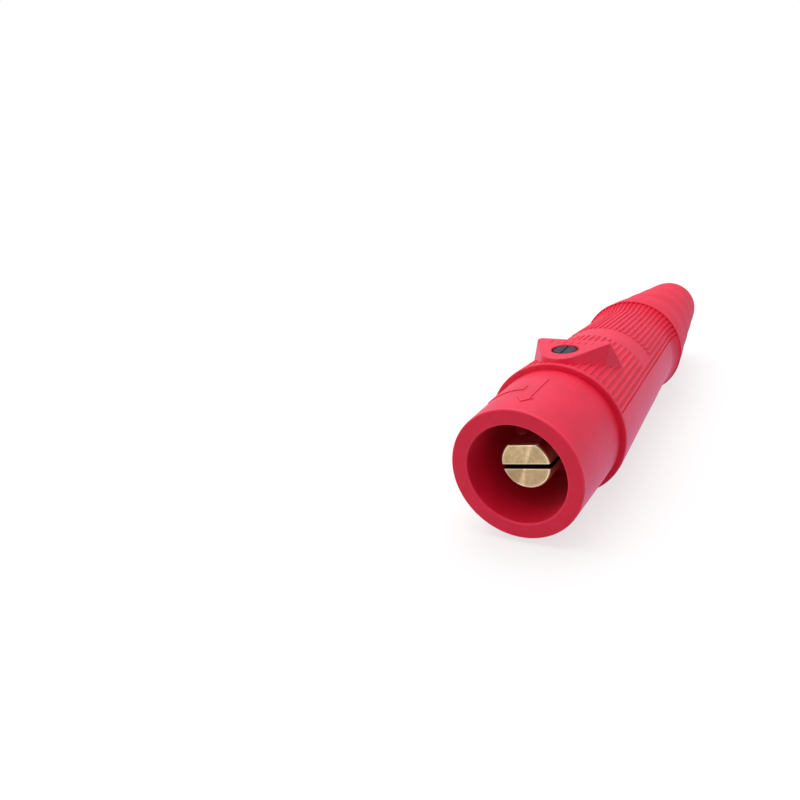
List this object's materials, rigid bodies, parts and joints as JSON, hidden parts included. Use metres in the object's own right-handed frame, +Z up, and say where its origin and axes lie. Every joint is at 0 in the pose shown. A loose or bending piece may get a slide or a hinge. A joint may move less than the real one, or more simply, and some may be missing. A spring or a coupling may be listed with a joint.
{
  "type": "cam lock plug",
  "caption": "In-line single-pole cam lock power plug: a ribbed rubber sleeve with a thumb wing and a stepped cable tail, over a slit brass cam pin in a round socket.",
  "frame": {"origin": "on the contact's axis, at the front face of its flange, where the mating contact stops", "axes": "+Y along the axis to the cable, -Y out of the socket, +Z up through the thumb wing"},
  "size_m": [0.0456, 0.1736, 0.0467],
  "materials": {
    "sleeve_rubber": "satin moulded red rubber",
    "contact_brass": "turned brass with fine tool marks",
    "set_screw_steel": "dark steel",
    "retaining_screw_plastic": "matt black nylon"
  },
  "bodies": {
    "root": {"sleeve": "sleeve_rubber", "contact": "contact_brass", "set_screws": "set_screw_steel", "retaining_screw": "retaining_screw_plastic"}
  },
  "joints": []
}
